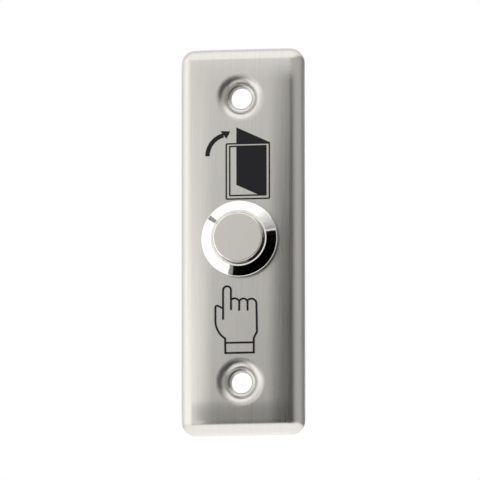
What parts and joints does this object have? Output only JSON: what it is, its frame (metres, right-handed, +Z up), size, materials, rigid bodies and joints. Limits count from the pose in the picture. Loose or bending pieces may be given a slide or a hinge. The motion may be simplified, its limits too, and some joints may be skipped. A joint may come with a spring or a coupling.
{
  "type": "door exit button",
  "caption": "Narrow pressed stainless door exit plate with a round metal push button, a printed door with an arrow above it and a pointing hand below it.",
  "frame": {"origin": "middle of the plate's rim, in the plane of the wall", "axes": "+X to the right as seen from the front, +Y into the wall, +Z up along the plate's long side; the front faces -Y"},
  "size_m": [0.029, 0.0225, 0.091],
  "materials": {
    "plate_steel": "vertical hairline brushing",
    "polished_steel": "polished",
    "cap_steel": "bead blasted face with a polished edge",
    "plated_steel": "bright nickel plating",
    "spring_steel": "drawn wire",
    "ink": "matt screen printing ink",
    "seal_rubber": "matt",
    "plunger_plastic": "moulded",
    "base_plastic": "moulded",
    "contact_copper": "rolled copper strip",
    "contact_silver": "silver contact",
    "terminal_brass": "stamped brass strip"
  },
  "bodies": {
    "plate": {"face_plate": "plate_steel", "door_pictogram": "ink", "arrow_pictogram": "ink", "hand_pictogram": "ink", "switch_housing": "polished_steel", "head_gasket": "seal_rubber", "lock_washer": "plated_steel", "mounting_nut": "plated_steel", "return_spring": "spring_steel", "guide_plate": "base_plastic", "terminal_base": "base_plastic", "common_terminal": "terminal_brass", "open_terminal": "terminal_brass", "fixed_contacts": "contact_silver", "clamp_washers": "plated_steel", "terminal_screws": "plated_steel"},
    "button": {"button_cap": "cap_steel", "cap_seal": "seal_rubber", "plunger": "plunger_plastic", "contact_spring": "spring_steel", "contact_bridge": "contact_copper", "bridge_contacts": "contact_silver", "bridge_clip": "spring_steel"}
  },
  "joints": [
    {"name": "button_press", "type": "slide", "parent": "plate", "child": "button", "axis": [0, 1, 0], "range_m": [0, 0.0015], "stiffness_N_per_m": 1200, "springref_m": -0.001, "deforming": ["return_spring"]}
  ]
}
